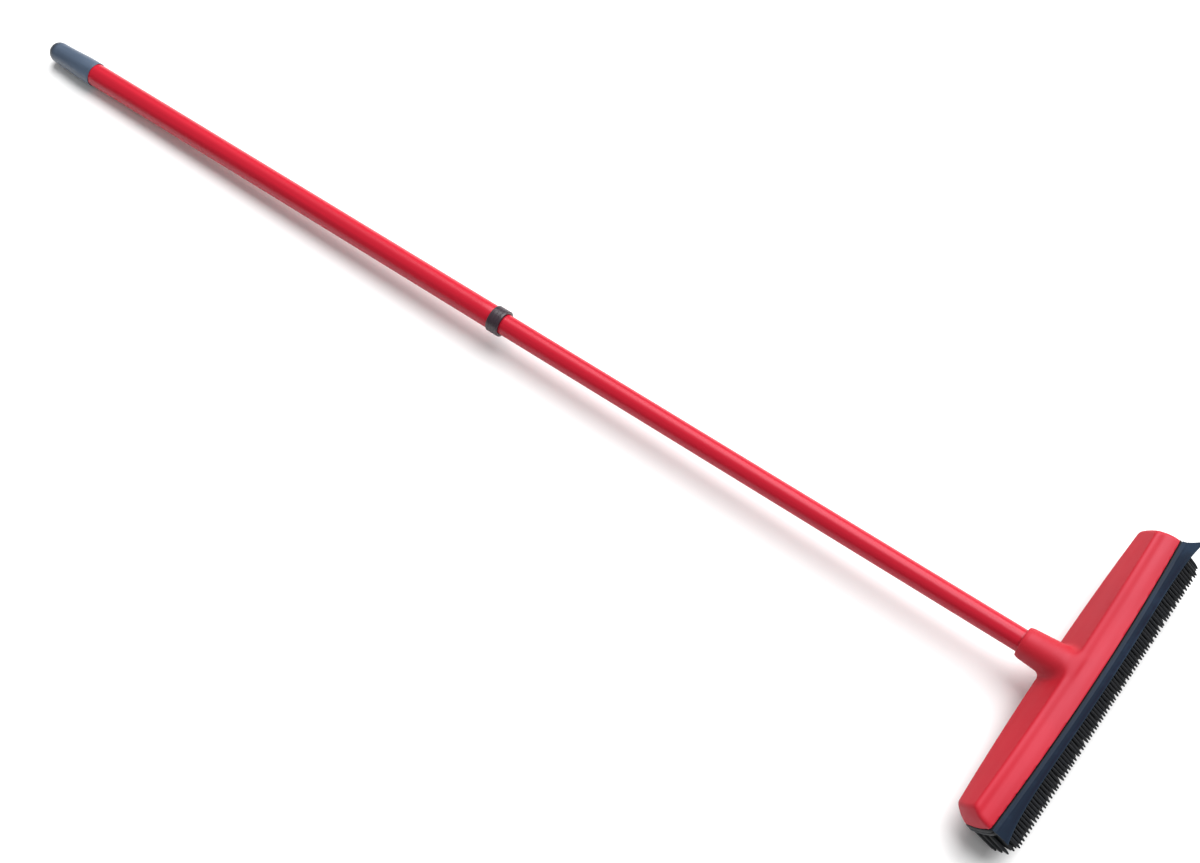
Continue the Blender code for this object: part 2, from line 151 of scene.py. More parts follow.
class CoverSettings(bpy.types.PropertyGroup):
    """Sizes and colour of the head cover."""

    rim_front_half: FloatProperty(
        name="Rim Front Half", description="Half length of the rim at the front",
        default=0.163, unit="LENGTH")
    rim_rear_half: FloatProperty(
        name="Rim Rear Half", description="Half length of the rim at the rear",
        default=0.162, unit="LENGTH")
    top_half: FloatProperty(
        name="Top Half", description="Half length of the flat top", default=0.1555, unit="LENGTH")
    rim_front: FloatProperty(
        name="Rim Front", description="Distance of the rim's front corners from the middle",
        default=0.021, unit="LENGTH")
    rim_rear: FloatProperty(
        name="Rim Rear", description="Distance of the rim's rear corners from the middle",
        default=0.016, unit="LENGTH")
    top_front: FloatProperty(
        name="Top Front", description="Distance of the ridge's ends from the middle",
        default=0.0138, unit="LENGTH")
    top_rear: FloatProperty(
        name="Top Rear", description="Distance of the top's rear corners from the middle",
        default=0.0116, unit="LENGTH")
    side_bow: FloatProperty(
        name="Side Bow", description="How far the long sides bow out at the middle",
        default=0.008, unit="LENGTH")
    ridge_bow: FloatProperty(
        name="Ridge Bow", description="How far the front ridge bows out", default=0.0046, unit="LENGTH")
    rear_bow: FloatProperty(
        name="Rear Bow", description="How far the top's rear edge bows out",
        default=0.0058, unit="LENGTH")
    end_belly: FloatProperty(
        name="End Belly", description="How far each end swells out at half its height",
        default=0.0016, unit="LENGTH")
    end_bow: FloatProperty(
        name="End Bow", description="How far each end bows out", default=0.0018, unit="LENGTH")
    wall: FloatProperty(
        name="Wall", description="Wall thickness of the moulding", default=0.0025, unit="LENGTH")
    flute: FloatProperty(
        name="Flute", description="Depth of the shallow flute along the front face",
        default=0.0006, unit="LENGTH")
    ridge_radius: FloatProperty(
        name="Ridge Radius", description="Blend where the top meets the sides",
        default=0.003, unit="LENGTH")
    corner_radius: FloatProperty(
        name="Corner Radius", description="Blend of the upright corners", default=0.0034, unit="LENGTH")
    fillet: FloatProperty(
        name="Socket Fillet", description="Blend between the socket and the top",
        default=0.0055, unit="LENGTH")
    socket_base: FloatProperty(
        name="Socket Base Radius", description="Radius of the socket at the top face",
        default=0.0174, unit="LENGTH")
    socket_mouth: FloatProperty(
        name="Socket Mouth Radius", description="Radius of the socket at its mouth",
        default=0.0152, unit="LENGTH")
    cell: FloatProperty(
        name="Mesh Size", description="Edge length of the cover's mesh", default=0.001, unit="LENGTH")
    colour: FloatVectorProperty(
        name="Colour", description="Colour of the red moulding", subtype="COLOR", size=3,
        default=(0.43, 0.005, 0.014), min=0.0, max=1.0)


class RubberSettings(bpy.types.PropertyGroup):
    """Sizes and colours of the rubber sole, lip and pins."""

    pin_pitch: FloatProperty(
        name="Pin Pitch", description="Distance between the pins of one row",
        default=0.00375, unit="LENGTH")
    pin_root: FloatProperty(
        name="Pin Root Radius", description="Radius of a pin where it leaves the sole",
        default=0.0018, unit="LENGTH")
    pin_tip: FloatProperty(
        name="Pin Tip Radius", description="Radius of a pin near its tip",
        default=0.00085, unit="LENGTH")
    pin_lean: FloatProperty(
        name="Pin Lean", description="Largest random lean of a pin along its row",
        default=math.radians(1.8), subtype="ANGLE")
    pin_seed: IntProperty(name="Pin Seed", description="Seed of the pins' random lean", default=11)
    lip_reach: FloatProperty(
        name="Lip Reach", description="How far the lip stands out in the middle",
        default=0.009, unit="LENGTH")
    lip_drop: FloatProperty(
        name="Lip Drop", description="How far the lip's edge hangs down in the middle",
        default=0.0025, unit="LENGTH")
    lip_strips: IntProperty(name="Lip Strips", description="Faces across the squeegee lip", default=20)
    colour: FloatVectorProperty(
        name="Rubber Colour", description="Colour of the sole and the pins", subtype="COLOR", size=3,
        default=(0.004, 0.005, 0.007), min=0.0, max=1.0)
    lip_colour: FloatVectorProperty(
        name="Lip Colour", description="Colour of the squeegee lip", subtype="COLOR", size=3,
        default=(0.009, 0.018, 0.034), min=0.0, max=1.0)


class HandleSettings(bpy.types.PropertyGroup):
    """Sizes and colours of the tubes, the collar and the grip cap."""

    tube_wall: FloatProperty(
        name="Tube Wall", description="Wall thickness of both tubes", default=0.0006, unit="LENGTH")
    cap_bore: FloatProperty(
        name="Cap Bore", description="How deep the tube goes into the grip cap",
        default=0.014, unit="LENGTH")
    cap_taper: FloatProperty(
        name="Cap Taper", description="How much thinner the grip cap's tip is than its mouth, in radius",
        default=0.0018, unit="LENGTH")
    paint: FloatVectorProperty(
        name="Paint", description="Colour of the tubes' paint", subtype="COLOR", size=3,
        default=(0.45, 0.006, 0.020), min=0.0, max=1.0)
    collar_colour: FloatVectorProperty(
        name="Collar Colour", description="Colour of the guide collar", subtype="COLOR", size=3,
        default=(0.026, 0.014, 0.022), min=0.0, max=1.0)
    cap_colour: FloatVectorProperty(
        name="Cap Colour", description="Colour of the grip cap", subtype="COLOR", size=3,
        default=(0.060, 0.090, 0.140), min=0.0, max=1.0)


class StageSettings(bpy.types.PropertyGroup):
    """Camera, light and floor."""

    azimuth: FloatProperty(
        name="Azimuth", description="Direction in which the camera looks, from +Y towards +X",
        default=math.radians(47.57), subtype="ANGLE")
    elevation: FloatProperty(
        name="Elevation", description="How steeply the camera looks down",
        default=math.radians(61.07), subtype="ANGLE")
    roll: FloatProperty(
        name="Roll", description="Roll of the camera", default=math.radians(-6.18), subtype="ANGLE")
    distance: FloatProperty(
        name="Distance", description="Distance from the camera to its target",
        default=1.709, unit="LENGTH")
    target: FloatVectorProperty(
        name="Target", description="Point that the camera looks at", size=3, subtype="XYZ",
        default=(-0.0426, -0.1353, 0.030))
    lens: FloatProperty(name="Lens", description="Focal length in millimetres", default=53.67)
    key_strength: FloatProperty(
        name="Key Strength", description="Strength of the key light in watts per square metre",
        default=5.0)
    key_spread: FloatProperty(
        name="Key Spread", description="How wide the key light looks from the object",
        default=math.radians(62.0), subtype="ANGLE")
    key_side: FloatVectorProperty(
        name="Key Side", description="Direction towards the key light", size=3, subtype="XYZ",
        default=(1.9, -0.2, 2.6))
    world: FloatProperty(name="World", description="Strength of the light from above", default=0.48)
    horizon: FloatProperty(
        name="Horizon", description="Light from the horizon as a share of that from above",
        default=0.22, subtype="FACTOR")
    floor_size: FloatProperty(
        name="Floor Size", description="Reach of the floor round the object",
        default=40.0, unit="LENGTH")
    floor_colour: FloatVectorProperty(
        name="Floor Colour", description="Colour of the floor and the backdrop", subtype="COLOR", size=3,
        default=(0.93, 0.93, 0.93), min=0.0, max=1.0)


class BroomSettings(bpy.types.PropertyGroup):
    """All settings of the broom."""

    cover: PointerProperty(type=CoverSettings)
    rubber: PointerProperty(type=RubberSettings)
    handle: PointerProperty(type=HandleSettings)
    stage: PointerProperty(type=StageSettings)


# ---------------------------------------------------------------- mesh helpers

def new_object(name, mesh):
    """Link a mesh as an object at the origin."""
    item = bpy.data.objects.new(name, mesh)
    bpy.context.scene.collection.objects.link(item)
    return item


def from_bmesh(name, bm, matrix=None, smooth_angle=40.0):
    """Finish a bmesh: place it, point its faces out, shade it smooth and link it."""
    bmesh.ops.remove_doubles(bm, verts=bm.verts[:], dist=1e-7)
    bmesh.ops.recalc_face_normals(bm, faces=bm.faces[:])
    if matrix:
        bmesh.ops.transform(bm, matrix=matrix, verts=bm.verts[:])
    mesh = bpy.data.meshes.new(name)
    bm.to_mesh(mesh)
    bm.free()
    mesh.shade_smooth()
    mesh.set_sharp_from_angle(angle=math.radians(smooth_angle))
    return new_object(name, mesh)


def bridge(bm, lower, upper):
    """Quads between two rings with the same number of points."""
    for index, vert in enumerate(lower):
        after = (index + 1) % len(lower)
        bm.faces.new((vert, lower[after], upper[after], upper[index]))


def lathe(profile, steps=ROUND_STEPS):
    """A profile of (radius, height) turned about Z; it is closed unless it meets the axis."""
    bm = bmesh.new()
    chain = [bm.verts.new((radius, 0.0, height)) for radius, height in profile]
    links = list(zip(chain, chain[1:]))
    if min(radius for radius, height in profile) > 0.0:
        links.append((chain[-1], chain[0]))
    edges = [bm.edges.new(link) for link in links]
    bmesh.ops.spin(bm, geom=chain + edges, cent=(0, 0, 0), axis=(0, 0, 1), angle=math.tau,
                   steps=steps, use_merge=True)
    return bm


def arc(centre, radius, start, stop, steps):
    """Points of an arc in a profile, angles in degrees from the outward direction."""
    points = []
    for step in range(steps + 1):
        angle = math.radians(mix(start, stop, step / steps))
        points.append((centre[0] + radius * math.cos(angle), centre[1] + radius * math.sin(angle)))
    return points


def claim(piece, body, slot, material, *nodes):
    """Give a piece its material and its body and hide the CAD nodes it stands for; the slot argument is not used.
    """
    piece.data.materials.clear()
    piece.data.materials.append(material)
    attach(piece, body)
    if nodes:
        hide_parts(*nodes)


# ---------------------------------------------------------------- materials

class Finish:
    """A Principled material under construction, with short calls for its nodes."""

    def __init__(self, name, roughness=0.5, metallic=0.0):
        self.material = bpy.data.materials.new(name)
        self.material.use_nodes = True
        self.tree = self.material.node_tree
        self.shader = self.tree.nodes["Principled BSDF"]
        self.shader.inputs["Roughness"].default_value = roughness
        self.shader.inputs["Metallic"].default_value = metallic
        self.place = self.tree.nodes.new("ShaderNodeTexCoord").outputs["Object"]
        self.bumps = None

    def link(self, source, target):
        """Join an output to an input."""
        self.tree.links.new(source, target)

    def turned(self, matrix, scale=(1.0, 1.0, 1.0)):
        """Object coordinates seen along another frame, for patterns that follow a piece."""
        mapping = self.tree.nodes.new("ShaderNodeMapping")
        mapping.vector_type = "TEXTURE"
        mapping.inputs["Location"].default_value = matrix.translation
        mapping.inputs["Rotation"].default_value = matrix.to_euler()
        stretch = self.tree.nodes.new("ShaderNodeMapping")
        stretch.inputs["Scale"].default_value = scale
        self.link(self.place, mapping.inputs["Vector"])
        self.link(mapping.outputs["Vector"], stretch.inputs["Vector"])
        return stretch.outputs["Vector"]

    def height(self, matrix):
        """Height above the foot of a frame, along its Z axis."""
        split = self.tree.nodes.new("ShaderNodeSeparateXYZ")
        self.link(self.turned(matrix), split.inputs["Vector"])
        return split.outputs["Z"]

    def noise(self, scale, detail, place=None, roughness=0.5):
        """Cloudy noise from 0 to 1; scale is in cycles per metre."""
        node = self.tree.nodes.new("ShaderNodeTexNoise")
        node.inputs["Scale"].default_value = scale
        node.inputs["Detail"].default_value = detail
        node.inputs["Roughness"].default_value = roughness
        self.link(place or self.place, node.inputs["Vector"])
        return node.outputs["Fac"]

    def cells(self, scale):
        """Distance to the nearest of many scattered points."""
        node = self.tree.nodes.new("ShaderNodeTexVoronoi")
        node.inputs["Scale"].default_value = scale
        self.link(self.place, node.inputs["Vector"])
        return node.outputs["Distance"]

    def ramp(self, factor, low, high, first=0.3, last=0.7):
        """Map a factor smoothly from between two stops to between two values."""
        node = self.tree.nodes.new("ShaderNodeMapRange")
        node.interpolation_type = "SMOOTHSTEP"
        node.inputs["From Min"].default_value = first
        node.inputs["From Max"].default_value = last
        node.inputs["To Min"].default_value = low
        node.inputs["To Max"].default_value = high
        self.link(factor, node.inputs["Value"])
        return node.outputs["Result"]

    def blend(self, factor, first, second):
        """Mix two colours, each a tuple or a socket."""
        node = self.tree.nodes.new("ShaderNodeMix")
        node.data_type = "RGBA"
        self.link(factor, node.inputs["Factor"])
        for socket, colour in ((node.inputs[6], first), (node.inputs[7], second)):
            if isinstance(colour, bpy.types.NodeSocket):
                self.link(colour, socket)
            else:
                socket.default_value = (*colour, 1.0)
        return node.outputs[2]

    def colour(self, source):
        """Set the base colour."""
        self.link(source, self.shader.inputs["Base Color"])

    def roughness(self, source):
        """Set the roughness pattern."""
        self.link(source, self.shader.inputs["Roughness"])

    def gloss(self, level, tint):
        """Set how strongly and in which colour the surface mirrors."""
        self.shader.inputs["Specular IOR Level"].default_value = level
        self.shader.inputs["Specular Tint"].default_value = (*tint, 1.0)

    def bump(self, height, depth, strength):
        """Add a bump of a given depth in metres on top of the earlier ones."""
        node = self.tree.nodes.new("ShaderNodeBump")
        node.inputs["Distance"].default_value = depth
        node.inputs["Strength"].default_value = strength
        self.link(height, node.inputs["Height"])
        if self.bumps:
            self.link(self.bumps, node.inputs["Normal"])
        self.bumps = node.outputs["Normal"]
        self.link(self.bumps, self.shader.inputs["Normal"])

    def edge_wear(self):
        """0 on flat faces and 1 on outer edges."""
        node = self.tree.nodes.new("ShaderNodeNewGeometry")
        return self.ramp(node.outputs["Pointiness"], 0.0, 1.0, 0.52, 0.60)


def shade(colour, factor):
    """A lighter or darker version of a colour."""
    return tuple(min(1.0, channel * factor) for channel in colour)


def red_moulding(colour):
    """Red polypropylene: even colour with faint flow clouds, fine grain and paler worn edges."""
    finish = Finish("red_moulding")
    clouds = finish.ramp(finish.noise(14.0, 3.0), 0.0, 1.0)
    base = finish.blend(clouds, shade(colour, 0.93), shade(colour, 1.06))
    pale = (min(1.0, colour[0] * 1.12), colour[1] * 2.6, colour[2] * 2.2)
    finish.colour(finish.blend(finish.edge_wear(), base, pale))
    streaks = finish.noise(60.0, 4.0, finish.turned(HEAD, (0.15, 1.0, 1.0)))
    finish.roughness(finish.ramp(streaks, 0.52, 0.60))
    finish.bump(finish.noise(1400.0, 2.0), 0.00002, 0.35)
    finish.bump(streaks, 0.00012, 0.12)
    finish.gloss(0.42, (1.0, 0.80, 1.0))
    return finish.material


def gloss_paint(colour):
    """Red gloss paint on drawn tube: orange peel, faint draw lines and small rubbed marks."""
    finish = Finish("gloss_paint")
    draw = finish.noise(220.0, 3.0, finish.turned(HANDLE, (1.0, 1.0, 0.012)))
    marks = finish.noise(90.0, 5.0, finish.turned(HANDLE, (1.0, 1.0, 0.25)), 0.7)
    rubbed = finish.ramp(marks, 0.0, 1.0, 0.62, 0.78)
    base = finish.blend(finish.ramp(draw, 0.0, 1.0), shade(colour, 0.92), shade(colour, 1.07))
    finish.colour(finish.blend(rubbed, base, shade(colour, 0.78)))
    finish.roughness(finish.ramp(rubbed, 0.30, 0.40, 0.0, 1.0))
    finish.bump(finish.noise(520.0, 1.0), 0.00004, 0.10)
    finish.bump(draw, 0.00003, 0.12)
    finish.gloss(0.3, (1.0, 0.85, 1.0))
    return finish.material


def soft_rubber(name, colour, roughness, sheen, gloss):
    """Soft rubber: fine pores, pale bloom in patches and a bluish sheen where it has one."""
    finish = Finish(name)
    bloom = finish.ramp(finish.noise(35.0, 5.0, roughness=0.65), 0.0, 1.0, 0.45, 0.75)
    finish.colour(finish.blend(bloom, colour, shade(colour, 1.7)))
    finish.roughness(finish.ramp(bloom, roughness - 0.06, roughness + 0.10, 0.0, 1.0))
    finish.bump(finish.noise(900.0, 3.0), 0.00003, 0.4)
    finish.gloss(gloss, (1.0, 1.0, 1.0))
    finish.shader.inputs["Sheen Weight"].default_value = sheen
    finish.shader.inputs["Sheen Roughness"].default_value = 0.4
    finish.shader.inputs["Sheen Tint"].default_value = (0.55, 0.75, 1.0, 1.0)
    return finish.material


def moulded_plastic(name, colour, roughness, matrix=None, dark_from=None, dark_to=None):
    """Spark-textured plastic: fine grain with faint mould streaks, darker from a height if given."""
    finish = Finish(name)
    place = finish.turned(matrix, (1.0, 1.0, 0.1)) if matrix else None
    streaks = finish.ramp(finish.noise(70.0, 4.0, place), 0.0, 1.0)
    tone = finish.blend(streaks, shade(colour, 0.82), shade(colour, 1.25))
    if dark_from:
        # The colour darkens along the frame's Z axis, from dark_from on, to a sixth of its tone at dark_to.
        dark_end = finish.ramp(finish.height(matrix), 0.0, 1.0, dark_from, dark_to)
        tone = finish.blend(dark_end, tone, shade(colour, 0.16))
    finish.colour(tone)
    finish.roughness(finish.ramp(streaks, roughness - 0.05, roughness + 0.07, 0.0, 1.0))
    finish.bump(finish.cells(1500.0), 0.00004, 0.25)
    return finish.material


def zinc_steel():
    """Zinc plated steel: spangle and fine turning marks."""
    finish = Finish("zinc_steel", metallic=1.0)
    spangle = finish.ramp(finish.cells(400.0), 0.0, 1.0, 0.1, 0.6)
    finish.colour(finish.blend(spangle, (0.62, 0.63, 0.66), (0.74, 0.74, 0.72)))
    finish.roughness(finish.ramp(finish.noise(600.0, 3.0), 0.24, 0.42))
    finish.bump(finish.noise(2500.0, 2.0), 0.00001, 0.3)
    return finish.material


# ---------------------------------------------------------------- cover shape

def smooth_max(first, second, blend):
    """Larger of two fields, with a rounded edge where they meet."""
    share = np.maximum(blend - np.abs(first - second), 0.0) / blend
    return np.maximum(first, second) + share * share * blend * 0.25


def smooth_min(first, second, blend):
    """Smaller of two fields, with a rounded corner where they meet."""
    return -smooth_max(-first, -second, blend)


class CoverField:
    """Distance-like field of the head cover in the head's frame: negative inside the plastic."""

    height = 0.021
    front_slope = 0.893
    side_slope = 0.93
    edge = 0.0006
    ribs = (-0.145, -0.110, -0.080, 0.080, 0.110, 0.145)
    rib_half = 0.0008
    rib_gap = 0.0077
    screw_boss_r = 0.0042
    pilot_r = 0.0019
    pilot_depth = 0.011
    thread_boss_r = 0.0122
    tube_bore_r = 0.0115
    socket_chamfer = 0.004
    socket_length = 0.034

    def __init__(self, sizes):
        self.sizes = sizes
        self.rim_z = extent("head_cover", HEAD)[0].z
        self.top_z = self.rim_z + self.height
        self.screws = [sum(extent(node, HEAD), Vector()).x / 2.0 for node in SCREW_NODES]
        self.boss_low = extent("carrier_plate", HEAD)[0].z + 0.003
        to_head = HEAD.inverted() @ HANDLE
        self.axis = np.array(to_head.to_3x3() @ Vector((0, 0, 1)))
        self.seat = np.array(to_head.translation)
        self.mouth = extent("head_cover", HANDLE)[1].z
        insert = extent("threaded_insert", HANDLE)
        self.bore_foot = insert[0].z - 0.0015
        self.bore_r = insert[1].x - 0.0005

    def walls(self, x, y, z, inset):
        """Skin of the boat shape, moved inwards by an inset."""
        size = self.sizes
        share = (z - self.rim_z) / (self.top_z - self.rim_z)
        front_half = mix(size.rim_front_half, size.top_half, share)
        rear_half = mix(size.rim_rear_half, size.top_half, share)
        front_bow = mix(size.side_bow, size.ridge_bow, share)
        front_y = -mix(size.rim_front, size.top_front, share) - front_bow * (1.0 - (x / front_half) ** 2)
        rear_bow = mix(size.side_bow, size.rear_bow, share)
        rear_y = mix(size.rim_rear, size.top_rear, share) + rear_bow * (1.0 - (x / rear_half) ** 2)
        groove = bump_at(share, 0.62, 0.16) - 0.6 * bump_at(share, 0.30, 0.22)
        front = (front_y + size.flute * groove - y) * self.front_slope + inset
        rear = (y - rear_y) * self.side_slope + inset
        across = np.clip((y - front_y) / (rear_y - front_y), 0.0, 1.0)
        reach = mix(front_half, rear_half, across) + size.end_bow * 4.0 * across * (1.0 - across)
        reach = reach + size.end_belly * 4.0 * np.clip(share * (1.0 - share), 0.0, 0.25)
        end = (np.abs(x) - reach) * self.side_slope + inset
        roof = z - self.top_z + inset
        return front, rear, end, roof

    def shell(self, x, y, z):
        """Outer boat shape with its rounded edges."""
        size = self.sizes
        front, rear, end, roof = self.walls(x, y, z, 0.0)
        sides = smooth_max(smooth_max(front, rear, 0.001), end, size.corner_radius)
        body = smooth_max(sides, roof, size.ridge_radius)
        return smooth_max(body, self.rim_z - z, self.edge)

    def socket(self, along, radial, z):
        """Tapered socket with a chamfered mouth, cut off under the roof."""
        size = self.sizes
        lip = self.mouth - self.socket_chamfer
        foot = self.mouth - self.socket_length
        share = np.clip((along - foot) / (lip - foot), 0.0, 1.0)
        radius = mix(size.socket_base, size.socket_mouth, share)
        radius = radius - np.clip((along - lip) / self.socket_chamfer, 0.0, 1.0) * 0.001
        cone = smooth_max(radial - radius, along - self.mouth, 0.0012)
        return smooth_max(cone, (self.top_z - 0.005) - z, 0.004)

    def inner_structure(self, x, y, z, along, radial):
        """Screw bosses, stiffening ribs and the thread boss inside the cover."""
        thread_foot = self.bore_foot - self.sizes.wall
        parts = np.maximum(radial - self.thread_boss_r, thread_foot - along)
        for place in self.screws:
            boss = np.hypot(x - place, y) - self.screw_boss_r
            parts = smooth_min(parts, np.maximum(boss, self.boss_low - z), 0.0015)
        for place in self.ribs:
            rib = np.maximum(np.abs(x - place) - self.rib_half, self.boss_low + self.rib_gap - z)
            parts = smooth_min(parts, rib, 0.001)
        return parts

    def __call__(self, points):
        """Value of the field at each point."""
        x, y, z = points.T
        arm = points - self.seat
        along = arm @ self.axis
        radial = np.linalg.norm(arm - np.outer(along, self.axis), axis=1)
        outer = smooth_min(self.shell(x, y, z), self.socket(along, radial, z), self.sizes.fillet)
        outer = smooth_max(outer, self.walls(x, y, z, 0.0)[0], self.sizes.ridge_radius)
        front, rear, end, roof = self.walls(x, y, z, self.sizes.wall)
        cavity = smooth_max(smooth_max(np.maximum(front, rear), end, 0.008), roof, 0.0015)
        cavity = smooth_max(cavity, -self.inner_structure(x, y, z, along, radial), 0.001)
        thread = np.maximum(radial - self.bore_r, self.bore_foot - along)
        tube = np.maximum(radial - self.tube_bore_r, -0.0007 - along)
        body = smooth_max(outer, -cavity, self.edge)
        body = smooth_max(body, -np.minimum(thread, tube), 0.0008)
        for place in self.screws:
            hole = np.hypot(x - place, y) - self.pilot_r
            body = np.maximum(body, -np.maximum(hole, z - self.boss_low - self.pilot_depth))
        return body


def pull_to_surface(field, points, rounds=5, step=0.00004, furthest=0.001):
    """Move points onto the zero surface of a field along its gradient, a short way in each round."""
    for _ in range(rounds):
        value = field(points)
        slope = np.empty_like(points)
        for axis in range(3):
            shift = np.zeros(3)
            shift[axis] = step
            slope[:, axis] = (field(points + shift) - field(points - shift)) / (2.0 * step)
        square = np.maximum((slope * slope).sum(axis=1), 0.05)
        move = slope * (value / square)[:, None]
        length = np.maximum(np.linalg.norm(move, axis=1), 1e-9)
        points = points - move * np.minimum(1.0, furthest / length)[:, None]
    return points


def net_over(field, low, high, cell):
    """Quads over the zero surface of a field: one point in each grid cell that the surface crosses."""
    axes = [np.arange(start - cell, stop + 2.0 * cell, cell) for start, stop in zip(low, high)]
    grid = np.stack(np.meshgrid(*axes, indexing="ij"), axis=-1)
    inside = field(grid.reshape(-1, 3)).reshape(grid.shape[:3]) < 0.0
    last = [count - 1 for count in inside.shape]
    corners = np.stack([inside[i:last[0] + i, j:last[1] + j, k:last[2] + k]
                        for i in (0, 1) for j in (0, 1) for k in (0, 1)])
    crossed = corners.any(axis=0) & ~corners.all(axis=0)
    number = np.full(crossed.shape, -1)
    number[crossed] = np.arange(crossed.sum())
    points = grid[:-1, :-1, :-1][crossed] + cell / 2.0
    quads = []
    for axis in range(3):
        first, second = [other for other in range(3) if other != axis]
        here = np.take(inside, range(inside.shape[axis] - 1), axis)
        after = np.take(inside, range(1, inside.shape[axis]), axis)
        where = np.argwhere(here != after)
        leaving = here[tuple(where.T)]
        ring = []
        for back_first, back_second in ((0, 0), (1, 0), (1, 1), (0, 1)):
            cell_at = where.copy()
            cell_at[:, first] -= back_first
            cell_at[:, second] -= back_second
            ring.append(number[tuple(cell_at.T)])
        ring = np.stack(ring, axis=1)
        flip = leaving if axis == 1 else ~leaving
        ring[flip] = ring[flip][:, ::-1]
        quads.append(ring)
    return points, np.concatenate(quads)


def evened(points, quads, factor=0.5):
    """Move each point part of the way to the middle of its neighbours."""
    total = np.zeros_like(points)
    count = np.zeros(len(points))
    for start, stop in ((0, 1), (1, 2), (2, 3), (3, 0)):
        for here, there in ((start, stop), (stop, start)):
            np.add.at(total, quads[:, here], points[quads[:, there]])
            np.add.at(count, quads[:, here], 1.0)
    return points + (total / count[:, None] - points) * factor


class BROOM_OT_cover(bpy.types.Operator):
    """Build the red head cover with its socket as one moulding"""

    bl_idname = "broom.cover"
    bl_label = "Head Cover"

    def execute(self, context):
        sizes = context.scene.broom.cover
        field = CoverField(sizes)
        low, high = extent("head_cover", HEAD)
        points, quads = net_over(field, low, high, sizes.cell)
        for _ in range(4):
            points = pull_to_surface(field, evened(points, quads))
        mesh = bpy.data.meshes.new("moulded_head_cover")
        mesh.from_pydata(points.tolist(), [], quads.tolist())
        mesh.transform(HEAD)
        mesh.shade_smooth()
        mesh.set_sharp_from_angle(angle=math.radians(55.0))
        cover = new_object("moulded_head_cover", mesh)
        claim(cover, HEAD_BODY, "red_plastic", red_moulding(sizes.colour), "head_cover")
        return {"FINISHED"}


# ---------------------------------------------------------------- rubber

def rim_outline(sizes, inset, end_inset, corner=0.005, steps=50):
    """Plan of the rim, anticlockwise from above: bowed sides, bowed ends and round corners."""
    front_half = sizes.rim_front_half - end_inset
    rear_half = sizes.rim_rear_half - end_inset

    def front(x):
        """Point of the front side."""
        bow = sizes.side_bow * (1.0 - (x / sizes.rim_front_half) ** 2)
        return Vector((x, inset - sizes.rim_front - bow))

    def rear(x):
        """Point of the rear side."""
        bow = sizes.side_bow * (1.0 - (x / sizes.rim_rear_half) ** 2)
        return Vector((x, sizes.rim_rear - inset + bow))

    front_end = front(front_half)
    rear_end = rear(rear_half)
    trim = corner / (rear_end.y - front_end.y)

    def end(share):
        """Point of the end, from the front to the rear."""
        bow = Vector((sizes.end_bow * 4.0 * share * (1.0 - share), 0.0))
        return front_end.lerp(rear_end, share) + bow

    def rounded(first, middle, last):
        """Points of a round corner between its two ends."""
        shares = [step / 8.0 for step in range(1, 8)]
        return [first.lerp(middle, share).lerp(middle.lerp(last, share), share) for share in shares]

    right = [front(mix(0.0, front_half - corner, step / steps)) for step in range(steps + 1)]
    right += rounded(right[-1], front_end, end(trim))
    right += [end(mix(trim, 1.0 - trim, step / 12.0)) for step in range(13)]
    back = [rear(mix(rear_half - corner, 0.0, step / steps)) for step in range(steps + 1)]
    right += rounded(right[-1], rear_end, back[0]) + back
    left = [Vector((-point.x, point.y)) for point in reversed(right[1:-1])]
    return right + left


class BROOM_OT_sole(bpy.types.Operator):
    """Build the rubber sole with rounded edges and a shallow groove round its side"""

    bl_idname = "broom.sole"
    bl_label = "Rubber Sole"

    def execute(self, context):
        sizes = context.scene.broom.cover
        rubber = context.scene.broom.rubber
        low, high = extent("rubber_sole", HEAD)
        thick = high.z - low.z
        proud = high.x - extent("head_cover", HEAD)[1].x
        section = [(0.0060, 0.0), (0.0014, 0.0), (0.0004, 0.05), (0.0, 0.16), (0.0, 0.44),
                   (0.0006, 0.50), (0.0006, 0.56), (0.0, 0.62), (0.0, 0.90), (0.0003, 0.97),
                   (0.0010, 1.0), (0.0060, 1.0)]
        bm = bmesh.new()
        rings = []
        for inset, height in section:
            outline = rim_outline(sizes, inset, inset - proud)
            z = low.z + height * thick
            rings.append([bm.verts.new((point.x, point.y, z)) for point in outline])
        for before, after in zip(rings, rings[1:]):
            bridge(bm, before, after)
        bm.faces.new(rings[-1])
        bm.faces.new(list(reversed(rings[0])))
        sole = from_bmesh("moulded_sole", bm, HEAD)
        material = soft_rubber("sole_rubber", rubber.colour, 0.55, 0.05, 0.3)
        claim(sole, HEAD_BODY, "dark_rubber", material, "rubber_sole")
        return {"FINISHED"}


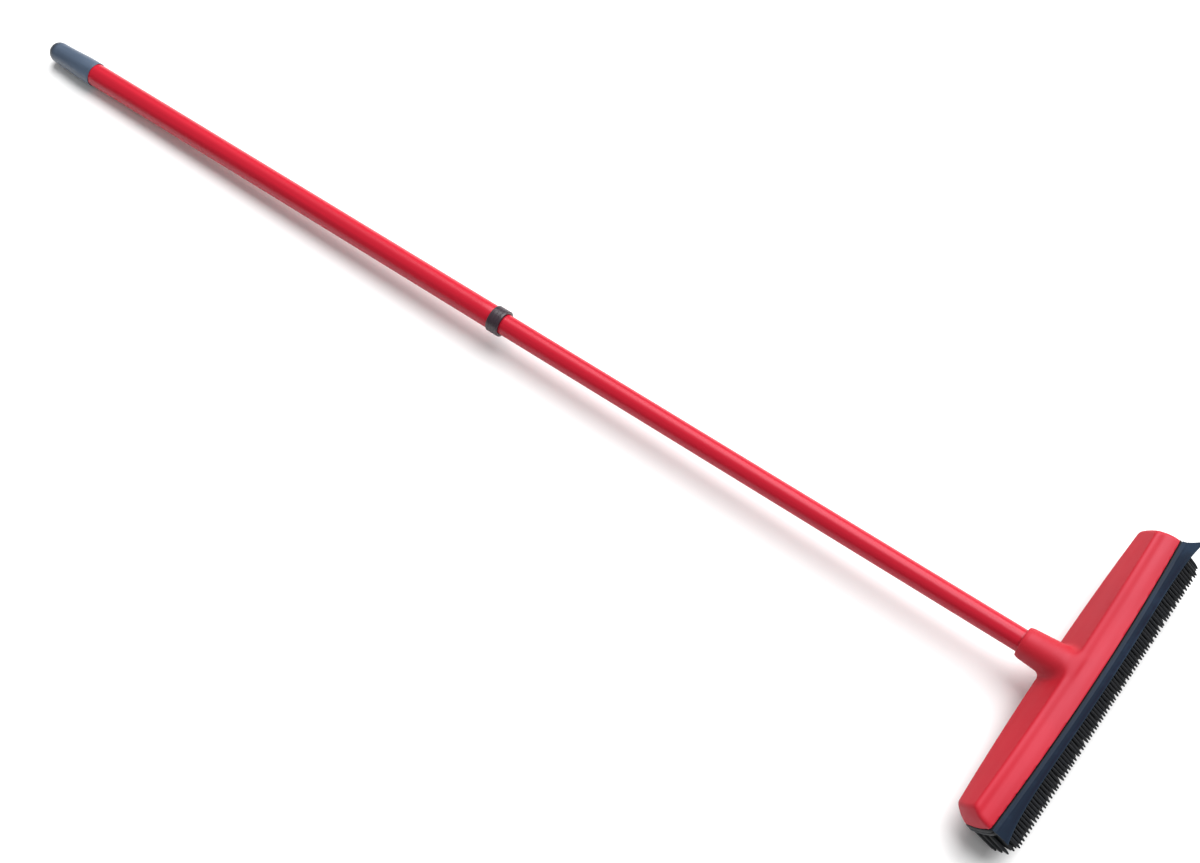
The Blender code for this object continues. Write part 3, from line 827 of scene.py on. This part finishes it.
class BROOM_OT_lip(bpy.types.Operator):
    """Build the squeegee lip, a blade that flares to the front and thins to its edge"""

    bl_idname = "broom.lip"
    bl_label = "Squeegee Lip"

    def execute(self, context):
        sizes = context.scene.broom.cover
        rubber = context.scene.broom.rubber
        low, high = extent("squeegee_lip", HEAD)
        root_thick = 0.003
        tip_thick = 0.0012
        root_gap = 0.0003
        belly_forward = 0.0032
        belly_down = 0.003
        ripple_height = 0.00025
        bead_depth = 0.00035
        edge_from = 0.96
        root_z = high.z - root_thick / 2.0
        corner_drop = root_z - low.z - tip_thick / 2.0
        corner_reach = -low.y - sizes.rim_front - root_gap
        overhang = high.x - sizes.rim_front_half
        stations = 150
        bm = bmesh.new()
        rings = []
        for station in range(stations + 1):
            share = mix(-1.0, 1.0, station / stations)
            root_x = share * sizes.rim_front_half
            root_y = -sizes.rim_front - sizes.side_bow * (1.0 - share * share) - root_gap
            flare = abs(share) ** 6
            reach = mix(rubber.lip_reach, corner_reach, flare)
            drop = mix(rubber.lip_drop, corner_drop, flare)
            wave = ripple_height * math.sin(share * 23.0 + 1.3 * math.sin(share * 7.0))
            upper = []
            lower = []
            for strip in range(rubber.lip_strips + 1):
                run = strip / rubber.lip_strips
                curve = 2.0 * run * (1.0 - run)
                forward = curve * belly_forward + run * run * reach
                down = curve * belly_down + run * run * drop
                past_edge = max(0.0, (run - edge_from) / (1.0 - edge_from))
                half = mix(root_thick, tip_thick, run) / 2.0 * math.sqrt(1.0 - 0.7 * past_edge ** 2)
                bead = bead_depth * bump_at(run, 0.30, 0.05)
                x = root_x + share * overhang * run * run
                middle = root_z - down + wave * run * (1.0 - run)
                upper.append(bm.verts.new((x, root_y - forward, middle + half - bead)))
                lower.append(bm.verts.new((x, root_y - forward, middle - half)))
            rings.append(upper + list(reversed(lower)))
        for before, after in zip(rings, rings[1:]):
            bridge(bm, before, after)
        bm.faces.new(rings[0])
        bm.faces.new(list(reversed(rings[-1])))
        lip = from_bmesh("flared_squeegee_lip", bm, HEAD)
        material = soft_rubber("lip_rubber", rubber.lip_colour, 0.58, 0.0, 0.14)
        claim(lip, HEAD_BODY, "lip_rubber", material, "squeegee_lip")
        return {"FINISHED"}


def pin_profile(length, root, tip):
    """Half section of one pin, from its rounded tip up into the sole."""
    return [(0.0, 0.0), (tip * 0.72, tip * 0.30), (tip, tip), (mix(tip, root, 0.72), length * 0.16),
            (root, length * 0.32), (root, length), (0.0, length)]


def pin_tree():
    """Geometry Nodes: pins along each row guide, each with a small fixed random lean."""
    tree = bpy.data.node_groups.new("Pin Rows", "GeometryNodeTree")
    face = tree.interface
    face.new_socket("Geometry", in_out="INPUT", socket_type="NodeSocketGeometry")
    face.new_socket("Pitch", in_out="INPUT", socket_type="NodeSocketFloat")
    face.new_socket("Lean", in_out="INPUT", socket_type="NodeSocketFloat")
    face.new_socket("Seed", in_out="INPUT", socket_type="NodeSocketInt")
    face.new_socket("Pin", in_out="INPUT", socket_type="NodeSocketObject")
    face.new_socket("Material", in_out="INPUT", socket_type="NodeSocketMaterial")
    face.new_socket("Geometry", in_out="OUTPUT", socket_type="NodeSocketGeometry")
    nodes = tree.nodes
    entry = nodes.new("NodeGroupInput").outputs
    curve = nodes.new("GeometryNodeMeshToCurve")
    spread = nodes.new("GeometryNodeResampleCurve")
    spread.mode = "LENGTH"
    points = nodes.new("GeometryNodeInstanceOnPoints")
    source = nodes.new("GeometryNodeObjectInfo")
    lean = nodes.new("FunctionNodeRandomValue")
    lean.data_type = "FLOAT_VECTOR"
    low = nodes.new("ShaderNodeCombineXYZ")
    high = nodes.new("ShaderNodeCombineXYZ")
    flip = nodes.new("ShaderNodeMath")
    flip.operation = "MULTIPLY"
    flip.inputs[1].default_value = -1.0
    realise = nodes.new("GeometryNodeRealizeInstances")
    paint = nodes.new("GeometryNodeSetMaterial")
    leave = nodes.new("NodeGroupOutput")
    link = tree.links.new
    link(entry["Geometry"], curve.inputs["Mesh"])
    link(curve.outputs["Curve"], spread.inputs["Curve"])
    link(entry["Pitch"], spread.inputs["Length"])
    link(spread.outputs["Curve"], points.inputs["Points"])
    link(entry["Pin"], source.inputs["Object"])
    link(source.outputs["Geometry"], points.inputs["Instance"])
    link(entry["Lean"], flip.inputs[0])
    link(flip.outputs["Value"], low.inputs["Y"])
    link(entry["Lean"], high.inputs["Y"])
    link(low.outputs["Vector"], lean.inputs["Min"])
    link(high.outputs["Vector"], lean.inputs["Max"])
    link(entry["Seed"], lean.inputs["Seed"])
    link(lean.outputs["Value"], points.inputs["Rotation"])
    link(points.outputs["Instances"], realise.inputs["Geometry"])
    link(realise.outputs["Geometry"], paint.inputs["Geometry"])
    link(entry["Material"], paint.inputs["Material"])
    link(paint.outputs["Geometry"], leave.inputs["Geometry"])
    return tree


def set_inputs(modifier, values):
    """Set a Geometry Nodes modifier's inputs by their sockets' identifiers."""
    sockets = {item.name: item.identifier for item in modifier.node_group.interface.items_tree
               if item.in_out == "INPUT"}
    for name, value in values.items():
        modifier[sockets[name]] = value


def baked(source, name):
    """The evaluated shape of an object as a plain mesh object; the source is removed."""
    bpy.context.view_layer.update()
    graph = bpy.context.evaluated_depsgraph_get()
    mesh = bpy.data.meshes.new_from_object(source.evaluated_get(graph))
    bpy.data.objects.remove(source)
    return new_object(name, mesh)


class BROOM_OT_pins(bpy.types.Operator):
    """Build the rows of rubber pins under the sole"""

    bl_idname = "broom.pins"
    bl_label = "Rubber Pins"

    def execute(self, context):
        rubber = context.scene.broom.rubber
        material = soft_rubber("pin_rubber", rubber.colour, 0.62, 0.0, 0.25)
        length = extent("rubber_sole", HEAD)[0].z - 0.0001
        tip_z = 0.0004
        end_gap = 0.0012
        profile = pin_profile(length, rubber.pin_root, rubber.pin_tip)
        root_down = [(radius, height - length) for radius, height in profile]
        pin = from_bmesh("pin", lathe(root_down, 8))
        guide = bpy.data.meshes.new("row_guides")
        verts = []
        for index, node in enumerate(ROW_NODES):
            low, high = extent(node, HEAD)
            y = (low.y + high.y) / 2.0
            stagger = rubber.pin_pitch * 0.25 * (1 if index % 2 else -1)
            for x in (low.x + end_gap, high.x - end_gap):
                verts.append((x + stagger, y, tip_z + length))
        edges = [(2 * index, 2 * index + 1) for index in range(len(ROW_NODES))]
        guide.from_pydata(verts, edges, [])
        guides = new_object("row_guides", guide)
        modifier = guides.modifiers.new("Pins", "NODES")
        modifier.node_group = pin_tree()
        set_inputs(modifier, {"Pitch": rubber.pin_pitch, "Lean": rubber.pin_lean,
                              "Seed": rubber.pin_seed, "Pin": pin, "Material": material})
        pins = baked(guides, "rubber_pins")
        bpy.data.objects.remove(pin)
        pins.data.transform(HEAD)
        claim(pins, HEAD_BODY, "dark_rubber", material, *ROW_NODES)
        return {"FINISHED"}


# ---------------------------------------------------------------- handle

def tube_mesh(outside, foot, top, wall):
    """A thin tube between its ends, with softly rolled edges and an even wall."""
    inside = outside - wall
    edge = wall / 2.0
    rings = 24
    profile = arc((outside - edge, foot + edge), edge, -90.0, 0.0, 3)
    profile += [(outside, mix(foot + edge, top - edge, step / rings)) for step in range(1, rings)]
    profile += arc((outside - edge, top - edge), edge, 0.0, 90.0, 3)
    profile += [(inside, mix(top - edge, foot + edge, step / rings)) for step in range(rings + 1)]
    return lathe(profile)


class BROOM_OT_tubes(bpy.types.Operator):
    """Build both painted tubes of the handle"""

    bl_idname = "broom.tubes"
    bl_label = "Handle Tubes"

    def execute(self, context):
        sizes = context.scene.broom.handle
        paint = gloss_paint(sizes.paint)
        ends = {"lower_tube": extent("lower_tube", HANDLE)[1].z,
                "upper_tube": extent("grip_cap", HANDLE)[0].z + sizes.cap_bore}
        for node, name, body in (("lower_tube", "painted_lower_tube", LOWER_BODY),
                                 ("upper_tube", "painted_upper_tube", UPPER_BODY)):
            low, high = extent(node, HANDLE)
            shell = tube_mesh(high.x, low.z, ends[node], sizes.tube_wall)
            tube = from_bmesh(name, shell, HANDLE, 50.0)
            claim(tube, body, "red_paint", paint, node)
        return {"FINISHED"}


class BROOM_OT_collar(bpy.types.Operator):
    """Build the guide collar with its chamfers and finger grooves"""

    bl_idname = "broom.collar"
    bl_label = "Guide Collar"

    def execute(self, context):
        sizes = context.scene.broom.handle
        low, high = extent("collar", HANDLE)
        outside = high.x
        upper_low, upper_high = extent("upper_tube", HANDLE)
        guide_r = extent("lower_tube", HANDLE)[1].x + FIT
        sleeve_r = upper_high.x + FIT
        shelf = upper_low.z - FIT
        lead_in = 0.0004
        foot_round = 0.0009
        top_round = 0.0006
        grooves = 3
        groove_half = 0.0006
        floor_half = 0.0002
        groove_r = outside - 0.0003
        profile = [(guide_r + lead_in, low.z), (outside - 0.0012, low.z)]
        profile += arc((outside - foot_round, low.z + foot_round), foot_round, -60.0, 0.0, 4)
        for groove in range(grooves):
            height = mix(low.z + 0.0035, high.z - 0.003, groove / (grooves - 1))
            profile += [(outside, height - groove_half), (groove_r, height - floor_half),
                        (groove_r, height + floor_half), (outside, height + groove_half)]
        profile += arc((outside - top_round, high.z - top_round), top_round, 0.0, 90.0, 4)
        profile += [(sleeve_r, high.z), (sleeve_r, shelf), (guide_r, shelf), (guide_r, low.z + lead_in)]
        collar = from_bmesh("grooved_collar", lathe(profile), HANDLE, 35.0)
        material = moulded_plastic("collar_plastic", sizes.collar_colour, 0.34, HANDLE)
        claim(collar, UPPER_BODY, "black_plastic", material, "collar")
        return {"FINISHED"}


class BROOM_OT_cap(bpy.types.Operator):
    """Build the domed grip cap"""

    bl_idname = "broom.cap"
    bl_label = "Grip Cap"

    def execute(self, context):
        sizes = context.scene.broom.handle
        low, high = extent("grip_cap", HANDLE)
        outside = high.x
        tip_r = outside - sizes.cap_taper
        bore = extent("upper_tube", HANDLE)[1].x + FIT
        bore_top = low.z + sizes.cap_bore
        mouth_round = 0.0004
        tip_flat = 0.005
        dome = 0.010
        shoulder = high.z - dome
        rings = 24
        steps = 14
        profile = [(0.0, bore_top + 0.001), (bore, bore_top + 0.0003), (bore, low.z)]
        profile += arc((outside - mouth_round, low.z + mouth_round), mouth_round, -90.0, 0.0, 4)
        for step in range(1, rings):
            height = mix(low.z + 0.0006, shoulder, step / rings)
            share = max(0.0, (height - bore_top) / (shoulder - bore_top))
            radius = mix(outside, tip_r, math.sin(share * math.pi / 2.0) ** 1.5)
            profile.append((radius, height))
        for step in range(steps + 1):
            angle = math.pi / 2.0 * step / steps
            radius = mix(tip_flat, tip_r, math.cos(angle))
            profile.append((radius, shoulder + dome * math.sin(angle)))
        profile.append((0.0, high.z))
        cap = from_bmesh("domed_grip_cap", lathe(profile), HANDLE, 35.0)
        # The cap's colour is made darker over its last 12 mm towards the tip.
        material = moulded_plastic("cap_plastic", sizes.cap_colour, 0.40, HANDLE,
                                   dark_from=high.z - 0.012, dark_to=high.z - 0.003)
        claim(cap, UPPER_BODY, "grip_plastic", material, "grip_cap")
        return {"FINISHED"}


class BROOM_OT_inner_parts(bpy.types.Operator):
    """Finish the carrier, screws, thread plug and twist lock, which keep their CAD shapes"""

    bl_idname = "broom.inner_parts"
    bl_label = "Inner Parts"

    def execute(self, context):
        black = moulded_plastic("inner_black_plastic", (0.022, 0.022, 0.025), 0.45)
        nylon = moulded_plastic("natural_nylon", (0.62, 0.60, 0.54), 0.42)
        steel = zinc_steel()
        finishes = {"carrier_plate": black, "threaded_insert": black, "lock_plug": black,
                    "lock_cone": black, "lock_expander": nylon, "lock_washer": steel,
                    "lock_screw": steel}
        finishes.update({node: steel for node in SCREW_NODES})
        for node, material in finishes.items():
            mesh = frame["nodes"][node].data
            mesh.materials.clear()
            mesh.materials.append(material)
        return {"FINISHED"}


# ---------------------------------------------------------------- stage

def wide_key(strength, spread, towards):
    """An even key light from one direction, as wide as a large softbox."""
    data = bpy.data.lights.new("key", "SUN")
    data.energy = strength
    data.angle = spread
    lamp = bpy.data.objects.new("key", data)
    bpy.context.scene.collection.objects.link(lamp)
    lamp.rotation_euler = (-Vector(towards)).to_track_quat("-Z", "Y").to_euler()


def dome_light(strength, horizon, backdrop_colour):
    """Even light from above that fades to a share of it at the horizon, in front of a backdrop."""
    world = bpy.data.worlds.new("studio")
    world.use_nodes = True
    nodes = world.node_tree.nodes
    link = world.node_tree.links.new
    place = nodes.new("ShaderNodeTexCoord")
    split = nodes.new("ShaderNodeSeparateXYZ")
    fade = nodes.new("ShaderNodeMapRange")
    fade.inputs["From Min"].default_value = 0.0
    fade.inputs["From Max"].default_value = 0.8
    fade.inputs["To Min"].default_value = horizon * strength
    fade.inputs["To Max"].default_value = strength
    dome = nodes["Background"]
    dome.inputs["Color"].default_value = (1.0, 1.0, 1.0, 1.0)
    backdrop = nodes.new("ShaderNodeBackground")
    backdrop.inputs["Color"].default_value = (*backdrop_colour, 1.0)
    seen = nodes.new("ShaderNodeLightPath")
    choice = nodes.new("ShaderNodeMixShader")
    link(place.outputs["Generated"], split.inputs["Vector"])
    link(split.outputs["Z"], fade.inputs["Value"])
    link(fade.outputs["Result"], dome.inputs["Strength"])
    link(seen.outputs["Is Camera Ray"], choice.inputs["Fac"])
    link(dome.outputs["Background"], choice.inputs[1])
    link(backdrop.outputs["Background"], choice.inputs[2])
    link(choice.outputs["Shader"], nodes["World Output"].inputs["Surface"])
    return world


def floor_material(colour):
    """Pale matt floor with a trace of tone variation."""
    finish = Finish("pale_floor", 0.9)
    tone = finish.ramp(finish.noise(2.0, 2.0), 0.0, 1.0)
    finish.colour(finish.blend(tone, shade(colour, 0.995), colour))
    return finish.material


def aim_camera(stage):
    """The scene's camera, aimed at its target from the set direction and distance."""
    data = bpy.data.cameras.new("camera")
    data.sensor_width = 36.0
    data.lens = stage.lens
    camera = bpy.data.objects.new("camera", data)
    bpy.context.scene.collection.objects.link(camera)
    turn = Euler((math.pi / 2.0 - stage.elevation, 0.0, -stage.azimuth)).to_matrix()
    turn = turn @ Matrix.Rotation(stage.roll, 3, "Z")
    place = Vector(stage.target) + turn @ Vector((0.0, 0.0, stage.distance))
    camera.matrix_world = Matrix.Translation(place) @ turn.to_4x4()
    bpy.context.scene.camera = camera


class BROOM_OT_stage(bpy.types.Operator):
    """Build the floor, the lights and the camera"""

    bl_idname = "broom.stage"
    bl_label = "Stage"

    def execute(self, context):
        stage = context.scene.broom.stage
        bm = bmesh.new()
        bmesh.ops.create_grid(bm, x_segments=1, y_segments=1, size=stage.floor_size)
        floor = from_bmesh("floor", bm)
        floor.data.materials.append(floor_material(stage.floor_colour))
        floor.location.z = CAD_BOX[0].z - 0.0002
        context.scene.world = dome_light(stage.world, stage.horizon, stage.floor_colour)
        context.scene.view_settings.view_transform = "Standard"
        wide_key(stage.key_strength, stage.key_spread, stage.key_side)
        aim_camera(stage)
        return {"FINISHED"}


class BROOM_PT_panel(bpy.types.Panel):
    """Buttons that build the broom, above its settings"""

    bl_idname = "BROOM_PT_panel"
    bl_label = "Rubber Broom"
    bl_space_type = "VIEW_3D"
    bl_region_type = "UI"
    bl_category = "Broom"

    def draw(self, context):
        """Lay out the buttons and the settings."""
        layout = self.layout
        for step in STEPS:
            layout.operator(step.bl_idname)
        broom = context.scene.broom
        for group in (broom.cover, broom.rubber, broom.handle, broom.stage):
            box = layout.box()
            for name in group.__annotations__:
                box.prop(group, name)


STEPS = (BROOM_OT_stage, BROOM_OT_cover, BROOM_OT_sole, BROOM_OT_lip, BROOM_OT_pins,
         BROOM_OT_tubes, BROOM_OT_collar, BROOM_OT_cap, BROOM_OT_inner_parts)
CLASSES = (CoverSettings, RubberSettings, HandleSettings, StageSettings, BroomSettings,
           *STEPS, BROOM_PT_panel)


def register():
    """Add the classes and the scene's broom settings."""
    for item in CLASSES:
        bpy.utils.register_class(item)
    bpy.types.Scene.broom = PointerProperty(type=BroomSettings)


def unregister():
    """Remove what register added."""
    del bpy.types.Scene.broom
    for item in reversed(CLASSES):
        bpy.utils.unregister_class(item)


def main():
    """Register the add-on and build every piece."""
    register()
    bpy.ops.broom.stage()
    bpy.ops.broom.cover()
    bpy.ops.broom.sole()
    bpy.ops.broom.lip()
    bpy.ops.broom.pins()
    bpy.ops.broom.tubes()
    bpy.ops.broom.collar()
    bpy.ops.broom.cap()
    bpy.ops.broom.inner_parts()


if __name__ == "__main__":
    main()
